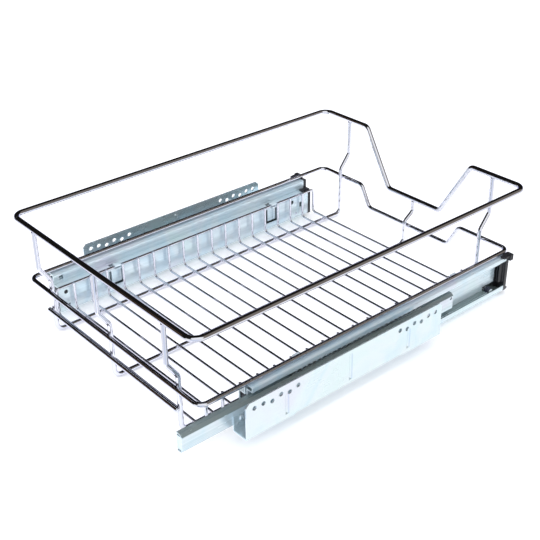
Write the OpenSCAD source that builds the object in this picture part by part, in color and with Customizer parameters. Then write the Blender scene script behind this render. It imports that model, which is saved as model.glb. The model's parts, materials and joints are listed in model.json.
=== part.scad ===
// Pull out pantry basket on two ball bearing slides.
// X is across the cabinet, +Y is towards the back of the cabinet, +Z is up.
// The origin is on the floor, under the middle of the whole object's box.

/* [Basket rims] */
// Top rim, front to back, between wire centres
rim_length = 457; // [440:1:500]
// How far the top rim stands outside the middle rim, side to side
rim_step = 6.5; // [0:0.5:16]
// Height of the top rim wire's centre above the floor
rim_height = 131; // [115:1:160]
// Diameter of the top rim wire
rim_wire = 6; // [5:0.5:7]
// Bend radius at the top rim's corners
rim_corner = 12; // [8:1:20]
// Half width of the front dip at the top
dip_top_half = 84; // [70:1:95]
// Half width of the front dip at its bottom
dip_bottom_half = 42; // [30:1:50]
// Height of the rim wire's centre at the bottom of the dip
dip_height = 59.5; // [56:0.5:70]
// Bend radius of both dips
dip_bend = 8; // [6:1:12]
// Diameter of the middle rim, the rear cross wire and the runners
frame_wire = 5; // [4:0.5:5.5]
// Gap between the rails' tops and the middle rim above them
middle_gap = 1.1; // [0.8:0.1:4]
// How far the middle rim stands outside the drawer rails' inner walls
middle_overhang = 15; // [12:0.5:17]
// Half width of the middle rim's dip at the top
middle_dip_top_half = 81; // [75:1:95]
// Half width of the middle rim's dip at its bottom
middle_dip_bottom_half = 66; // [55:1:68]
// Height of the middle rim wire's centre at the bottom of its dip
middle_dip_height = 26.5; // [20:0.5:27]
// Height of the rear cross wire's centre
cross_height = 30; // [18:0.5:42]

/* [Basket floor] */
// Distance of the side runners from the middle one
runner_spacing = 115.5; // [100:0.5:122]
// Bend radius of the runners at the floor
runner_bend = 8; // [6:1:12]
// How far the rear uprights stand inside the top rim's wire
rear_inset = 12; // [9:0.5:16]
// How far the front uprights stand inside the top rim's wire
front_inset = 14; // [9:0.5:16]
// Height where the outer uprights start to lean out to the rim
jog_height = 66; // [66:1:74]
// Height of that lean
jog_rise = 18; // [14:1:24]
// Height where the front middle upright starts to lean out
front_jog_height = 33; // [33:0.5:36]
// Height of the front middle upright's lean
front_jog_rise = 10; // [9:0.5:12]
// Diameter of the fine floor wires
floor_wire = 3; // [2.5:0.1:3.4]
// Distance between floor wires
floor_pitch = 21.5; // [20.5:0.1:22]
// Number of cross wires, with the two that belong to the loop
floor_count = 19; // [18:1:20]
// Distance of the rearmost cross wire from the top rim's rear wire
floor_rear_margin = 26.5; // [24:0.5:30]
// Half width of the floor, to the centres of its turned up sides
floor_half = 134; // [128:0.5:136]
// Diameter of the loop wire that hangs in the slides' hooks
loop_wire = 3; // [2.6:0.1:3.6]
// Bend radius of the fine wires
fine_bend = 5; // [4:0.5:8]

/* [Slide rails] */
// Length of the drawer rail
rail_length = 375; // [365:1:380]
// Height of the drawer rail
rail_height = 45.2; // [44:0.1:46.5]
// Sheet thickness of the drawer rail and the cabinet rail
rail_sheet = 1.2; // [1:0.1:1.4]
// Sheet thickness of the middle rail
middle_sheet = 1.5; // [1.2:0.1:1.8]
// Height of the drawer rail's underside above the floor
rail_lift = 5.4; // [3:0.1:8]
// Height of the ledge above the drawer rail's underside
ledge_height = 33; // [31:0.1:34]
// How far the rail steps back above the ledge
ledge_depth = 8.5; // [7:0.1:10]
// Depth of the channel, from the upper wall to the lips' faces
channel_depth = 12.5; // [12.2:0.1:14]
// Height of the channel's upper lip
upper_lip = 5.5; // [4:0.1:6]
// Height of the channel's lower lip
lower_lip = 7; // [5:0.1:7.6]
// Diameter of the balls between drawer rail and middle rail
outer_ball_d = 4.9; // [4.6:0.1:5.2]
// Diameter of the balls between middle rail and cabinet rail
inner_ball_d = 4.2; // [3.8:0.1:4.6]
// Distance between balls of the outer cage
outer_pitch = 7; // [6.5:0.5:20]
// Distance between balls of the inner cage
inner_pitch = 6.75; // [5.5:0.25:20]
// Travel length of each of a slide's two rail pairs
travel_length = 180; // [150:1:185]
// How far the left slide's cabinet rail stands out at the rear
left_open = 83; // [0:1:100]
// How far the left rail sits in front of the right one
rail_advance = 33.5; // [33:0.5:46]
// Distance of the right rail's rear end behind the basket's middle
right_rail_rear = 198; // [192:0.5:204]

/* [Brackets] */
// Depth of a bracket, from the cabinet rail to its outer face
bracket_depth = 20.2; // [16:0.1:40]
// Length of a bracket
bracket_length = 265.3; // [262:0.1:280]
// Height of a bracket's outer wall
bracket_height = 40.8; // [38:0.2:44]
// Height of a bracket's inner wall
bracket_inner_height = 16.5; // [15.5:0.1:22]
// Sheet thickness of a bracket
bracket_sheet = 1.5; // [1.2:0.1:2]
// Distance of a bracket from the cabinet rail's rear end
bracket_setback = 57.4; // [30:0.1:90]
// Diameter of the screw holes
screw_hole_d = 5; // [4:0.1:5.5]
// Distance between the two groups of screw holes
hole_group_spacing = 192; // [186:1:196]

/* [Hidden] */
$fn = 48;

chrome = "silver";
zinc = "lightsteelblue";
black = "#26262b";
left = -1;
right = 1;

// Welds: how far crossing wires are pressed into each other
weld = 0.2;
// Clearance between neighbours that are fixed or slide
fit = 0.2;
// Bends are a hair thicker than the straight runs, which end just inside them
bend_swell = 0.02;
bend_bite = 0.2;
// Outside bend radius of sheet metal
sheet_bend = 1.8;

// Along Y: the middle of the whole box is at zero
end_inset = 1;
left_rail_rear = right_rail_rear - rail_advance;
rearmost = max(left_rail_rear - end_inset + left_open, right_rail_rear, rim_length / 2 + rim_wire / 2);
frontmost = -rim_length / 2 - rim_wire / 2;
basket_y = -(rearmost + frontmost) / 2;

// Rims and uprights
rim_rear_y = basket_y + rim_length / 2;
rim_front_y = basket_y - rim_length / 2;
upright_rear_y = rim_rear_y - rear_inset;
upright_front_y = rim_front_y + front_inset;
middle_rear_y = upright_rear_y + frame_wire - weld;
middle_front_y = upright_front_y - frame_wire + weld;
middle_height = rail_lift + rail_height + middle_gap + frame_wire / 2;
middle_corner = 9;
jog_bend = 7;
runner_z = frame_wire / 2;
cross_half = runner_spacing + frame_wire / 2;

// Floor
loop_over_ledge = 0.1;
floor_z = frame_wire + floor_wire / 2 - weld;
loop_floor_z = frame_wire + loop_wire / 2 - weld;
floor_rear_y = rim_rear_y - floor_rear_margin;
floor_front_y = floor_rear_y - (floor_count - 1) * floor_pitch;
loop_half = floor_half + floor_wire / 2 + loop_wire / 2 - weld;
loop_z = rail_lift + ledge_height + loop_over_ledge;
floor_wire_top = loop_z + loop_wire / 2;

// Slide section: u runs outwards from the lower wall's inner face, z up from the rail's underside
wall_x = loop_half + loop_wire / 2 + fit;
middle_half = wall_x + middle_overhang;
rim_half = middle_half + rim_step;
upper_u = ledge_depth;
lip_u = upper_u + channel_depth;
channel_u = upper_u + rail_sheet;
inside_lip_u = lip_u - rail_sheet;
centre_z = rail_height / 2;
track_depth = 0.3;
cage_sheet = 0.5;
outer_cage_u = channel_u + fit;
middle_u = outer_cage_u + cage_sheet + fit;
middle_end_gap = 0.5;
middle_end_u = inside_lip_u - middle_end_gap;
middle_h = rail_height - 2 * rail_sheet - 2 * outer_ball_d;
middle_low = centre_z - middle_h / 2;
inner_cage_u = middle_u + middle_sheet + fit;
cabinet_u = inner_cage_u + cage_sheet + fit;
cabinet_proud = 0.3;
cabinet_face_u = lip_u + cabinet_proud;
cabinet_h = middle_h - 2 * middle_sheet - 2 * inner_ball_d;
cabinet_low = centre_z - cabinet_h / 2;
cabinet_shoulder = 3;
outer_ball_u = (middle_u + middle_end_u) / 2;
inner_ball_u = middle_end_u - inner_ball_d / 2 - fit;
outer_ball_dz = middle_h / 2 + outer_ball_d / 2;
inner_ball_dz = cabinet_h / 2 + inner_ball_d / 2;

// Slide along Y: s runs from the drawer rail's rear end towards the front
cap_plate = 5;
cap_plug = 7;
cap_arm = 38;
cap_tongue = 9;
cap_lug = 4;
cap_lug_reach = 5.5;
cap_foot = 4;
cap_sole = 2.2;
buffer_length = 22;
buffer_low = 3;
member_end = rail_length - cap_plug - end_inset;
roller_gap = 0.8;
roller_d = cabinet_low - rail_sheet - 2 * roller_gap;
roller_width = 6;
roller_clear = 1;
roller_margin = 21;
roller_s = rail_length - roller_margin;
roller_z = (cabinet_low + rail_sheet) / 2;
over_roller_z = roller_z + roller_d / 2 + roller_clear;
pin_d = 4;
pin_head_d = 6;
pin_head = 0.8;
shoulder_d = 6.5;
cage_margin = 2;
cage_start = travel_length / 2 + cage_margin;
outer_cage_end = roller_s - roller_d / 2 - 2 * roller_clear;
inner_cage_end = member_end - travel_length / 2 - cage_margin;
ball_margin = 5;
ball_play = 0.1;

// Hooks: each sits in a bay between two upright wires and holds the loop
hook_bays = [3, 14];
bays_ahead = 2;
hook_shift = (bays_ahead * floor_pitch - rail_advance) / 2;
hook_width = 8;
hook_play = 0.5;
hook_reach = loop_wire + fit + rail_sheet + hook_play;
hook_nose = 1;
shelf_z = loop_z - loop_wire / 2 - rail_lift;
hook_z = shelf_z + loop_wire + fit;
window_width = 20;
window_low = 8.5;
window_height = 19.5;
tab_width = 13;
tab_gap = 2.5;
ledge_slot_length = 14;
ledge_slot_width = 5;
ledge_slot_u = 2;

// Holes in the drawer rail
end_hole_d = 5;
end_hole_z = 24.6;
end_hole_margin = 9;
front_hole_margin = 27.5;
small_hole_d = 2.5;
small_hole_z = 7.6;
small_hole_margin = 11.5;
slot_width = 3;
slot_height = 7;
slot_z = 14;
slot_margin = 13;
notch_size = 5;
notch_margin = 7;
cabinet_hole_d = 3.5;
cabinet_hole_margin = 3.5;
cabinet_hole_rise = 5.5;

// Bracket
bracket_u = cabinet_face_u;
bracket_out_u = bracket_u + bracket_depth;
bracket_rise = 1.2;
bracket_low_z = lower_lip + bracket_rise;
bracket_top_z = bracket_low_z + bracket_height;
bracket_rear_s = end_inset + bracket_setback;
bracket_front_s = bracket_rear_s + bracket_length;
bracket_corner = 4;
holes_per_group = 6;
hole_pitch = 32 / 3;
hole_margin = (bracket_length - hole_group_spacing - (holes_per_group - 1) * hole_pitch) / 2;
hole_edge = 7.7;
hole_stagger = 2.5;
rear_low_holes = [2, 4];
front_low_holes = [1, 3];
rib_r = 3.2;
rib_depth = 1;
rib_low = 3;
rib_offset = 83;
side_rib_height = 22;
middle_rib_height = 29;
relief_margin = 58;
relief_height = 2.5;
relief_depth = 4;
rivet_d = 4;
rivet_inner_head_d = 5.5;
rivet_inner_head = 1;
rivet_head_d = 7;
rivet_head = 1.6;
rivet_drop = 3;
rivet_z = centre_z - rivet_drop;
rivet_margin = 10;
tooling_hole_d = 2.5;
tooling_hole_margin = 5;
tooling_hole_drop = 4;

function unit(v) = v / norm(v);
function turn(p, q, r) = acos(unit(q - p) * unit(r - q));
function setback(p, q, r, bend) = bend * tan(turn(p, q, r) / 2);

// Straight round wire in the XY plane
module rod(p, q, d) {
    translate(p) rotate([0, 90, atan2(q.y - p.y, q.x - p.x)]) cylinder(d = d, h = norm(q - p));
}

// Round bend at q between the runs from p and to r
module elbow(p, q, r, d, bend) {
    into = unit(q - p);
    side = cross(into, unit(r - q)) > 0 ? 1 : -1;
    start = q - setback(p, q, r, bend) * into;
    middle = start + bend * side * [-into.y, into.x];
    first = atan2(start.y - middle.y, start.x - middle.x);
    angle = turn(p, q, r);
    translate(middle) rotate([0, 0, side > 0 ? first : first - angle])
        rotate_extrude(angle = angle) translate([bend, 0]) circle(d = d + bend_swell);
}

// Wire through points in the XY plane, bent at each inner point; ends says whether it has end runs
module wire(points, d, bend, ends = true) {
    last = len(points) - 1;
    for (i = [0 : last - 1]) {
        p = points[i];
        q = points[i + 1];
        along = unit(q - p);
        cut_p = i > 0 ? setback(points[i - 1], p, q, bend) - bend_bite : 0;
        cut_q = i < last - 1 ? setback(p, q, points[i + 2], bend) - bend_bite : 0;
        if (ends || (i > 0 && i < last - 1)) rod(p + cut_p * along, q - cut_q * along, d);
        if (i < last - 1) elbow(p, q, points[i + 2], d, bend);
    }
}

// Stand a drawing up across the cabinet, or along it
module across(y) { translate([0, y, 0]) rotate([90, 0, 0]) children(); }
module along(x) { translate([x, 0, 0]) rotate([90, 0, 90]) children(); }

// Rim with a dip in its front side: a flat U whose ends run into the dip's bends
module dipped_rim(half, rear, front, z, d, corner, top_half, low_half, low_z) {
    dip = [[half, z], [top_half, z], [low_half, low_z], [-low_half, low_z], [-top_half, z], [-half, z]];
    meet = top_half + setback(dip[0], dip[1], dip[2], dip_bend) - bend_bite;
    translate([0, 0, z])
        wire([[meet, front], [half, front], [half, rear],
              [-half, rear], [-half, front], [-meet, front]], d, corner);
    across(front) wire(dip, d, dip_bend, false);
}

module top_rim() {
    color(chrome) dipped_rim(rim_half, rim_rear_y, rim_front_y, rim_height, rim_wire, rim_corner,
                             dip_top_half, dip_bottom_half, dip_height);
}

module middle_rim() {
    color(chrome) dipped_rim(middle_half, middle_rear_y, middle_front_y, middle_height, frame_wire,
                             middle_corner, middle_dip_top_half, middle_dip_bottom_half,
                             middle_dip_height);
}

module rear_cross_wire() {
    color(chrome) across(middle_rear_y)
        rod([-cross_half, cross_height], [cross_half, cross_height], frame_wire);
}

// One wire: down the rear, along the floor and up the front
module runner(x, front_jog, front_rise, front_top) {
    color(chrome) along(x) {
        foot = [[upright_rear_y, jog_height], [upright_rear_y, runner_z],
                [upright_front_y, runner_z], [upright_front_y, front_jog]];
        rear_leg = [[rim_rear_y, rim_height - rim_wire / 2 + weld], [rim_rear_y, jog_height + jog_rise],
                    foot[0], foot[1]];
        front_leg = [foot[2], foot[3], [rim_front_y, front_jog + front_rise],
                     [rim_front_y, front_top - rim_wire / 2 + weld]];
        wire(foot, frame_wire, runner_bend, false);
        wire(rear_leg, frame_wire, jog_bend, false);
        wire(front_leg, frame_wire, jog_bend, false);
        leg(rear_leg[0], rear_leg[1], rear_leg[2]);
        leg(front_leg[3], front_leg[2], front_leg[1]);
        post(rear_leg[1], foot[0], foot[1]);
        post(front_leg[2], foot[3], foot[2]);
    }
}

// Straight run from a free end p to the bend at q
module leg(p, q, r) {
    rod(p, q - (setback(p, q, r, jog_bend) - bend_bite) * unit(q - p), frame_wire);
}

// Upright run from the jog's bend at q down to the floor's bend at r
module post(p, q, r) {
    top = q.y - setback(p, q, r, jog_bend) + bend_bite;
    rod([q.x, top], [q.x, r.y + runner_bend - bend_bite], frame_wire);
}

module left_runner() { runner(-runner_spacing, jog_height, jog_rise, rim_height); }
module middle_runner() { runner(0, front_jog_height, front_jog_rise, dip_height); }
module right_runner() { runner(runner_spacing, jog_height, jog_rise, rim_height); }

module floor_wires() {
    color(chrome) for (i = [1 : floor_count - 2])
        across(floor_rear_y - i * floor_pitch)
            wire([[-floor_half, floor_wire_top], [-floor_half, floor_z],
                  [floor_half, floor_z], [floor_half, floor_wire_top]], floor_wire, fine_bend);
}

module floor_loop() {
    leg_end = loop_floor_z + fine_bend - bend_bite;
    color(chrome) {
        for (side = [left, right]) along(side * loop_half)
            wire([[floor_rear_y, leg_end], [floor_rear_y, loop_z],
                  [floor_front_y, loop_z], [floor_front_y, leg_end]], loop_wire, fine_bend);
        for (y = [floor_rear_y, floor_front_y]) across(y)
            wire([[-loop_half, loop_z], [-loop_half, loop_floor_z],
                  [loop_half, loop_floor_z], [loop_half, loop_z]], loop_wire, fine_bend, false);
    }
}

// Put a slide piece in place on its side; back moves it towards the rear
module place(side, back = 0) {
    rear = basket_y + (side == right ? right_rail_rear : left_rail_rear);
    mirror([side == left ? 1 : 0, 0, 0])
        translate([wall_x, rear + back, rail_lift]) children();
}

// Extrude a section drawn in u and z, from s0 to s1 in front of the rail's rear end
module run(s0, s1) {
    translate([0, -s0, 0]) rotate([90, 0, 0]) linear_extrude(s1 - s0) children();
}

// Extrude a side view drawn in s and z, from u0 to u1
module side_view(u0, u1) {
    translate([u0, 0, 0]) rotate([90, 0, 90]) linear_extrude(u1 - u0) mirror([1, 0]) children();
}

module block(u0, u1, z0, z1) { translate([u0, z0]) square([u1 - u0, z1 - z0]); }

// Rectangle with round corners
module round_block(u0, u1, z0, z1, r) {
    block(u0 + r, u1 - r, z0, z1);
    block(u0, u1, z0 + r, z1 - r);
    for (u = [u0 + r, u1 - r], z = [z0 + r, z1 - r]) translate([u, z]) circle(r);
}

// Ball tracks above and below the slide's middle
module tracks(u, dz, ball_d) {
    for (s = [-1, 1]) translate([u, centre_z + s * dz]) circle(ball_d / 2 + track_depth);
}

// Round bar along X; as a cut it makes a hole
module bar(u, s, z, d, length) {
    translate([u, -s, z]) rotate([0, 90, 0]) cylinder(d = d, h = length);
}

// Hole through a sheet whose inner face is at u
module sheet_hole(u, s, z, d, sheet) { bar(u - 1, s, z, d, sheet + 2); }

// Stepped profile with the ball channel's lips and tracks
module drawer_profile() {
    difference() {
        union() {
            round_block(0, lip_u, 0, ledge_height, sheet_bend);
            round_block(upper_u, lip_u, 0, rail_height, sheet_bend);
        }
        block(rail_sheet, inside_lip_u, rail_sheet, ledge_height - rail_sheet);
        block(channel_u, inside_lip_u, rail_sheet, rail_height - rail_sheet);
        block(inside_lip_u - 1, lip_u + 1, lower_lip, rail_height - upper_lip);
        tracks(outer_ball_u, outer_ball_dz, outer_ball_d);
    }
}

// C shaped hook that opens towards the basket: shelf, back, top and nose
module hook_profile() {
    block(-hook_reach, rail_sheet, shelf_z - rail_sheet, shelf_z);
    block(0, rail_sheet, ledge_height - rail_sheet, hook_z + rail_sheet);
    block(-hook_reach, rail_sheet, hook_z, hook_z + rail_sheet);
    block(-hook_reach, -hook_reach + rail_sheet, hook_z - hook_nose, hook_z + rail_sheet);
}

function hook_s(bay) =
    basket_y + right_rail_rear - (floor_rear_y - (bay + 0.5) * floor_pitch) + hook_shift;

// Length along the rail about the middle of a hook
module at_hook(bay, length) { run(hook_s(bay) - length / 2, hook_s(bay) + length / 2) children(); }

// Tab pressed out of the wall under a hook, one sheet behind it
module hook_tab(bay) {
    side_view(rail_sheet - weld, 2 * rail_sheet)
        translate([hook_s(bay) - tab_width / 2, window_low + tab_gap]) square([tab_width, window_height]);
}

module drawer_rail_holes() {
    for (bay = hook_bays) {
        side_view(-1, rail_sheet + 1)
            translate([hook_s(bay) - window_width / 2, window_low]) square([window_width, window_height]);
        at_hook(bay, ledge_slot_length)
            block(ledge_slot_u, ledge_slot_u + ledge_slot_width,
                  ledge_height - rail_sheet - 1, ledge_height + 1);
    }
    sheet_hole(0, end_hole_margin, end_hole_z, end_hole_d, rail_sheet);
    sheet_hole(0, rail_length - front_hole_margin, end_hole_z, end_hole_d, rail_sheet);
    sheet_hole(0, small_hole_margin, small_hole_z, small_hole_d, rail_sheet);
    sheet_hole(0, roller_s, roller_z, pin_d, rail_sheet);
    side_view(-1, rail_sheet + 1)
        translate([rail_length - slot_margin - slot_width / 2, slot_z]) square([slot_width, slot_height]);
    side_view(upper_u - 1, channel_u + 1)
        translate([notch_margin, (ledge_height + rail_height - notch_size) / 2]) square(notch_size);
}

module drawer_rail() {
    color(zinc) {
        difference() {
            union() {
                run(0, rail_length) drawer_profile();
                for (bay = hook_bays) at_hook(bay, hook_width) hook_profile();
            }
            drawer_rail_holes();
        }
        for (bay = hook_bays) hook_tab(bay);
    }
}

// End cap: a plate with the rail's outline, a lug at its upper outer corner, tongues on the rail,
// a foot, a plug in the channel and an arm in the lower box
module front_cap() {
    lug_u = middle_overhang + frame_wire / 2 + 3 * fit;
    color(black) {
        run(rail_length, rail_length + cap_plate) {
            round_block(0, lip_u, 0, ledge_height, sheet_bend);
            round_block(upper_u, lip_u, 0, rail_height, sheet_bend);
            block(fit, upper_u + sheet_bend, ledge_height - sheet_bend, ledge_height + cap_sole);
            block(lug_u, lip_u + cap_lug_reach, rail_height - 2 * cap_lug, rail_height + cap_lug);
        }
        run(rail_length - cap_tongue, rail_length) {
            block(lug_u, lip_u + cap_lug_reach, rail_height + fit, rail_height + cap_lug);
            block(fit, upper_u - fit, ledge_height + fit, ledge_height + cap_sole);
        }
        run(rail_length + cap_plate, rail_length + cap_plate + cap_foot)
            block(upper_u, lip_u, 0, cap_sole);
        run(rail_length - cap_plug, rail_length)
            block(channel_u + fit, inside_lip_u - fit, over_roller_z,
                  rail_height - rail_sheet - track_depth - fit);
        run(rail_length - cap_arm, rail_length)
            block(rail_sheet + fit, channel_u - fit, over_roller_z, ledge_height - rail_sheet - fit);
    }
}

// Plug in the rear of the lower box
module rear_buffer() {
    color(black) run(end_inset, buffer_length)
        block(rail_sheet, channel_u - fit, buffer_low, ledge_height - rail_sheet - fit);
}

module stop_roller() {
    color(black) difference() {
        bar(inside_lip_u - pin_head - fit - roller_width, roller_s, roller_z, roller_d, roller_width);
        bar(0, roller_s, roller_z, pin_d, lip_u);
    }
}

// Pin with its shoulder and its head on both sides of the stop roller
module stop_pin() {
    head_u = inside_lip_u - pin_head - fit;
    color(zinc) {
        bar(0, roller_s, roller_z, pin_d, head_u);
        bar(head_u, roller_s, roller_z, pin_head_d, pin_head);
        bar(rail_sheet, roller_s, roller_z, shoulder_d, head_u - roller_width - rail_sheet);
    }
}

function ball_count(length, pitch) = floor((length - 2 * ball_margin) / pitch) + 1;
function ball_s(start, end, pitch) =
    [for (i = [0 : ball_count(end - start, pitch) - 1])
        (start + end - (ball_count(end - start, pitch) - 1) * pitch) / 2 + i * pitch];

// Cage: a thin channel with a pocket for every ball
module cage(web_u, end_u, ball_u, dz, ball_d, start, end, pitch) {
    color(zinc) difference() {
        run(start, end) {
            block(web_u, web_u + cage_sheet, centre_z - dz, centre_z + dz);
            for (side = [-1, 1]) translate([web_u, centre_z + side * dz - cage_sheet / 2])
                square([end_u - web_u, cage_sheet]);
        }
        for (s = ball_s(start, end, pitch), side = [-1, 1])
            translate([ball_u, -s, centre_z + side * dz - cage_sheet])
                cylinder(d = ball_d + fit, h = 2 * cage_sheet);
    }
}

// Two rows of balls in their cage
module balls(ball_u, dz, ball_d, start, end, pitch) {
    color(chrome) for (s = ball_s(start, end, pitch), side = [-1, 1])
        translate([ball_u, -s, centre_z + side * dz]) sphere(d = ball_d - ball_play);
}

module outer_cage() {
    cage(outer_cage_u, middle_end_u - fit, outer_ball_u, outer_ball_dz, outer_ball_d,
         cage_start, outer_cage_end, outer_pitch);
}
module outer_balls() {
    balls(outer_ball_u, outer_ball_dz, outer_ball_d, cage_start, outer_cage_end, outer_pitch);
}
module inner_cage() {
    cage(inner_cage_u, inside_lip_u, inner_ball_u, inner_ball_dz, inner_ball_d,
         cage_start, inner_cage_end, inner_pitch);
}
module inner_balls() {
    balls(inner_ball_u, inner_ball_dz, inner_ball_d, cage_start, inner_cage_end, inner_pitch);
}

// C profile of height h about the slide's middle, open at end_u
module c_profile(u, end_u, h, sheet) {
    difference() {
        round_block(u, end_u + 2 * sheet_bend, centre_z - h / 2, centre_z + h / 2, sheet_bend);
        block(u + sheet, end_u + 2 * sheet_bend + 1, centre_z - h / 2 + sheet, centre_z + h / 2 - sheet);
        block(end_u, end_u + 2 * sheet_bend + 1, centre_z - h, centre_z + h);
    }
}

// Middle rail: its lower front corner is cut back for the stop roller
module middle_rail() {
    color(zinc) difference() {
        run(end_inset, member_end) difference() {
            c_profile(middle_u, middle_end_u, middle_h, middle_sheet);
            tracks(outer_ball_u, outer_ball_dz, outer_ball_d);
            tracks(inner_ball_u, inner_ball_dz, inner_ball_d);
        }
        run(outer_cage_end, member_end + 1)
            block(middle_u - 1, middle_end_u + 1, middle_low - 1, over_roller_z);
    }
}

// Outline with slanted shoulders at face_u, open at u; flat is the half height of its face
module shouldered(u, face_u, half, flat) {
    shoulder_u = face_u - cabinet_shoulder;
    translate([0, centre_z])
        polygon([[u, -half], [shoulder_u - (half - flat - cabinet_shoulder), -half], [face_u, -flat],
                 [face_u, flat], [shoulder_u - (half - flat - cabinet_shoulder), half], [u, half]]);
}

// Cabinet rail: it opens towards the basket and is closed at its rear end
module cabinet_rail() {
    half = cabinet_h / 2;
    flat = half - cabinet_shoulder;
    mitre = rail_sheet * tan(22.5);
    color(zinc) difference() {
        union() {
            run(end_inset, member_end) difference() {
                shouldered(cabinet_u, cabinet_face_u, half, flat);
                shouldered(cabinet_u - 1, cabinet_face_u - rail_sheet, half - rail_sheet, flat - mitre);
                tracks(inner_ball_u, inner_ball_dz, inner_ball_d);
            }
            run(end_inset, end_inset + rail_sheet)
                block(cabinet_u, cabinet_face_u - rail_sheet, centre_z - flat, centre_z + flat);
        }
        rivet_holes(cabinet_face_u - rail_sheet, rail_sheet);
        sheet_hole(cabinet_face_u - rail_sheet, member_end - cabinet_hole_margin,
                   centre_z + cabinet_hole_rise, cabinet_hole_d, rail_sheet);
    }
}

rivet_s = [bracket_rear_s + rivet_margin, (bracket_rear_s + bracket_front_s) / 2,
           bracket_front_s - rivet_margin];

module rivet_holes(u, sheet) {
    for (s = rivet_s) sheet_hole(u, s, rivet_z, rivet_d, sheet);
}

module screw_holes(low_holes, first_s) {
    for (i = [0 : holes_per_group - 1]) {
        drop = len([for (k = low_holes) if (k == i) k]) * hole_stagger;
        sheet_hole(bracket_out_u - bracket_sheet, first_s + i * hole_pitch,
                   bracket_top_z - hole_edge - drop, screw_hole_d, bracket_sheet);
    }
}

// U profile with a low inner wall
module bracket_profile() {
    difference() {
        round_block(bracket_u, bracket_out_u, bracket_low_z, bracket_top_z + 2 * sheet_bend, sheet_bend);
        block(bracket_u + bracket_sheet, bracket_out_u - bracket_sheet,
              bracket_low_z + bracket_sheet, bracket_top_z + 3 * sheet_bend);
        block(bracket_u - 1, bracket_u + bracket_sheet + 1,
              bracket_low_z + bracket_inner_height, bracket_top_z + 3 * sheet_bend);
        block(bracket_u - 1, bracket_out_u + 1, bracket_top_z, bracket_top_z + 3 * sheet_bend);
    }
}

// What is cut from the bracket in side view: its upper corners, and the relief in its lower edge
module bracket_corner_cuts() {
    c = bracket_corner;
    polygon([[bracket_rear_s - 1, bracket_top_z - c - 1], [bracket_rear_s + c + 1, bracket_top_z + 1],
             [bracket_rear_s - 1, bracket_top_z + 1]]);
    polygon([[bracket_front_s + 1, bracket_top_z - c - 1], [bracket_front_s - c - 1, bracket_top_z + 1],
             [bracket_front_s + 1, bracket_top_z + 1]]);
}

module bracket_relief() {
    rear = bracket_rear_s + relief_margin;
    front = bracket_front_s - relief_margin;
    low = bracket_low_z;
    h = relief_height;
    polygon([[rear - h, low - h], [front + h, low - h], [front - h, low + h], [rear + h, low + h]]);
}

// Upright capsule on the outer wall: the groove is cut with it, the ridge behind is wider
module rib(s, height, r) {
    translate([bracket_out_u + rib_r - rib_depth, -s, bracket_low_z + rib_low + rib_r]) {
        cylinder(r = r, h = height);
        translate([0, 0, height]) sphere(r);
    }
}

module ribs(r) {
    middle = (bracket_rear_s + bracket_front_s) / 2;
    for (side = [-1, 1]) rib(middle + side * rib_offset, side_rib_height, r);
    rib(middle, middle_rib_height, r);
}

module bracket() {
    color(zinc) difference() {
        union() {
            run(bracket_rear_s, bracket_front_s) bracket_profile();
            intersection() {
                ribs(rib_r + bracket_sheet);
                run(bracket_rear_s, bracket_front_s)
                    block(bracket_u, bracket_out_u - bracket_sheet / 2, bracket_low_z, bracket_top_z);
            }
        }
        ribs(rib_r);
        side_view(bracket_u - 1, bracket_out_u + 1) bracket_corner_cuts();
        side_view(bracket_out_u - relief_depth, bracket_out_u + 1) bracket_relief();
        screw_holes(rear_low_holes, bracket_rear_s + hole_margin);
        screw_holes(front_low_holes, bracket_rear_s + hole_margin + hole_group_spacing);
        rivet_holes(bracket_u, bracket_sheet);
        sheet_hole(bracket_u, bracket_rear_s + tooling_hole_margin, rivet_z - tooling_hole_drop,
                   tooling_hole_d, bracket_sheet);
    }
}

// Rivets: the inner head inside the cabinet rail, the outer one inside the bracket
module bracket_rivets() {
    inner_u = cabinet_face_u - rail_sheet - rivet_inner_head;
    outer_u = bracket_u + bracket_sheet;
    color(zinc) for (s = rivet_s) {
        bar(inner_u, s, rivet_z, rivet_inner_head_d, rivet_inner_head);
        bar(inner_u, s, rivet_z, rivet_d, outer_u - inner_u + rivet_head / 2);
        bar(outer_u, s, rivet_z, rivet_head_d, rivet_head);
    }
}

module left_drawer_rail() { place(left) drawer_rail(); }
module left_front_cap() { place(left) front_cap(); }
module left_rear_buffer() { place(left) rear_buffer(); }
module left_stop_roller() { place(left) stop_roller(); }
module left_stop_pin() { place(left) stop_pin(); }
module left_outer_cage() { place(left) outer_cage(); }
module left_outer_balls() { place(left) outer_balls(); }
module left_middle_rail() { place(left) middle_rail(); }
module left_inner_cage() { place(left, left_open / 2) inner_cage(); }
module left_inner_balls() { place(left, left_open / 2) inner_balls(); }
module left_cabinet_rail() { place(left, left_open) cabinet_rail(); }
module left_bracket() { place(left, left_open) bracket(); }
module left_bracket_rivets() { place(left, left_open) bracket_rivets(); }
module right_drawer_rail() { place(right) drawer_rail(); }
module right_front_cap() { place(right) front_cap(); }
module right_rear_buffer() { place(right) rear_buffer(); }
module right_stop_roller() { place(right) stop_roller(); }
module right_stop_pin() { place(right) stop_pin(); }
module right_outer_cage() { place(right) outer_cage(); }
module right_outer_balls() { place(right) outer_balls(); }
module right_middle_rail() { place(right) middle_rail(); }
module right_inner_cage() { place(right) inner_cage(); }
module right_inner_balls() { place(right) inner_balls(); }
module right_cabinet_rail() { place(right) cabinet_rail(); }
module right_bracket() { place(right) bracket(); }
module right_bracket_rivets() { place(right) bracket_rivets(); }

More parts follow.
